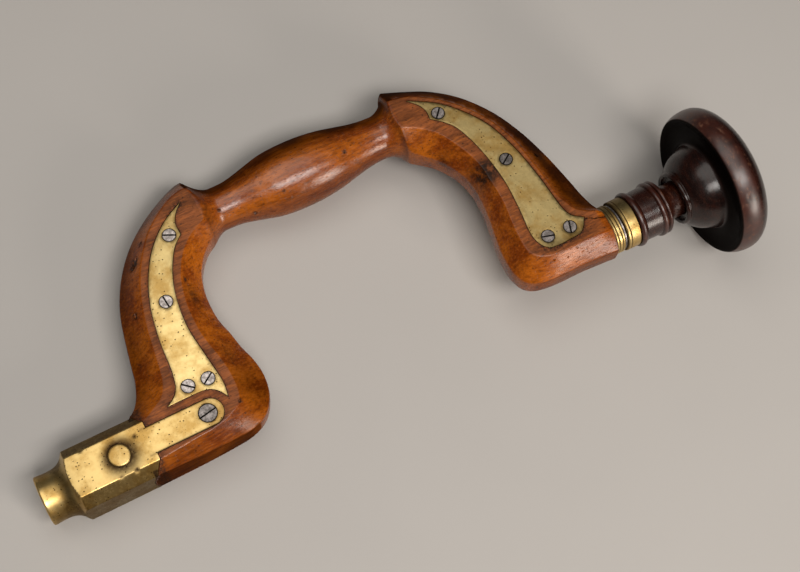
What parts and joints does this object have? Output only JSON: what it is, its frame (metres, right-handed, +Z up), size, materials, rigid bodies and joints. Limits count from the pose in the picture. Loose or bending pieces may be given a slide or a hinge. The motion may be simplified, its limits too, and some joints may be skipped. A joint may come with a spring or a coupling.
{
  "type": "carpenter's brace",
  "caption": "Plated wooden hand brace: crank stock with brass push-button chuck, inlaid brass plates and a free-turning mushroom head.",
  "frame": {"origin": "centre of the bounding box in X and Y, on the plane that the brace lies on", "axes": "+X along the tool from the chuck towards the head, as seen from above; +Y from the spindle towards the grip; +Z up. The brace lies at rest on the head's rim, the chuck and the collar of the lower web, so its spindle rises 3.8 degrees towards the head and its grip side dips 3.9 degrees"},
  "size_m": [0.3508, 0.1428, 0.0721],
  "materials": {
    "beech": "beech under an old warm orange-brown shellac, satin gloss",
    "rosewood": "dark turned rosewood, polished by the palm, with scuffs on the rim",
    "chuck_brass": "cast and filed brass, rubbed bright on top, olive tarnish in the hollows",
    "plate_brass": "rolled brass sheet, polished, with fine pits",
    "ring_brass": "turned brass rings, tarnished in the grooves",
    "screw_steel": "filed flush steel screw heads, grey with age",
    "latch_steel": "hardened steel, dull",
    "spindle_steel": "turned steel, oiled"
  },
  "bodies": {
    "brace": {"beech_stock": "beech", "lower_front_plate": "plate_brass", "lower_back_plate": "plate_brass", "upper_front_plate": "plate_brass", "upper_back_plate": "plate_brass", "lower_front_screw_1": "screw_steel", "lower_front_screw_2": "screw_steel", "lower_front_screw_3": "screw_steel", "lower_front_screw_4": "screw_steel", "lower_back_screw_1": "screw_steel", "lower_back_screw_2": "screw_steel", "lower_back_screw_3": "screw_steel", "lower_back_screw_4": "screw_steel", "upper_front_screw_1": "screw_steel", "upper_front_screw_2": "screw_steel", "upper_front_screw_3": "screw_steel", "upper_front_screw_4": "screw_steel", "upper_back_screw_1": "screw_steel", "upper_back_screw_2": "screw_steel", "upper_back_screw_3": "screw_steel", "upper_back_screw_4": "screw_steel", "tang_front_screw": "screw_steel", "tang_back_screw": "screw_steel", "chuck_body": "chuck_brass", "latch_pin": "latch_steel", "latch_spring": "latch_steel", "stock_ferrule": "ring_brass", "thrust_washer": "spindle_steel", "spindle": "spindle_steel", "spindle_nut": "spindle_steel", "nut_washer": "spindle_steel"},
    "turning_head": {"neck_ferrule": "ring_brass", "neck_bush": "rosewood", "head": "rosewood", "head_plug": "rosewood"},
    "button": {"release_button": "chuck_brass"},
    "latch": {"latch_lever": "latch_steel"}
  },
  "joints": [
    {"name": "head_spin", "type": "hinge", "parent": "brace", "child": "turning_head", "pos_m": [0.1626, -0.03555, 0.03636], "axis": [0.9979, 0, 0.0655], "continuous": true},
    {"name": "button_press", "type": "slide", "parent": "brace", "child": "button", "axis": [0.0653, -0.0689, -0.9955], "range_m": [0, 0.0015], "stiffness_N_per_m": 2000, "springref_m": -0.0015, "deforming": ["latch_spring"]},
    {"name": "latch_pivot", "type": "hinge", "parent": "brace", "child": "latch", "pos_m": [-0.14627, -0.03498, 0.02429], "axis": [0.0045, 0.9976, -0.0688], "range_deg": [0, 12]}
  ],
  "couplings": [
    {"joint": "latch_pivot", "follows": "button_press", "rad_per_m": 135.1}
  ]
}
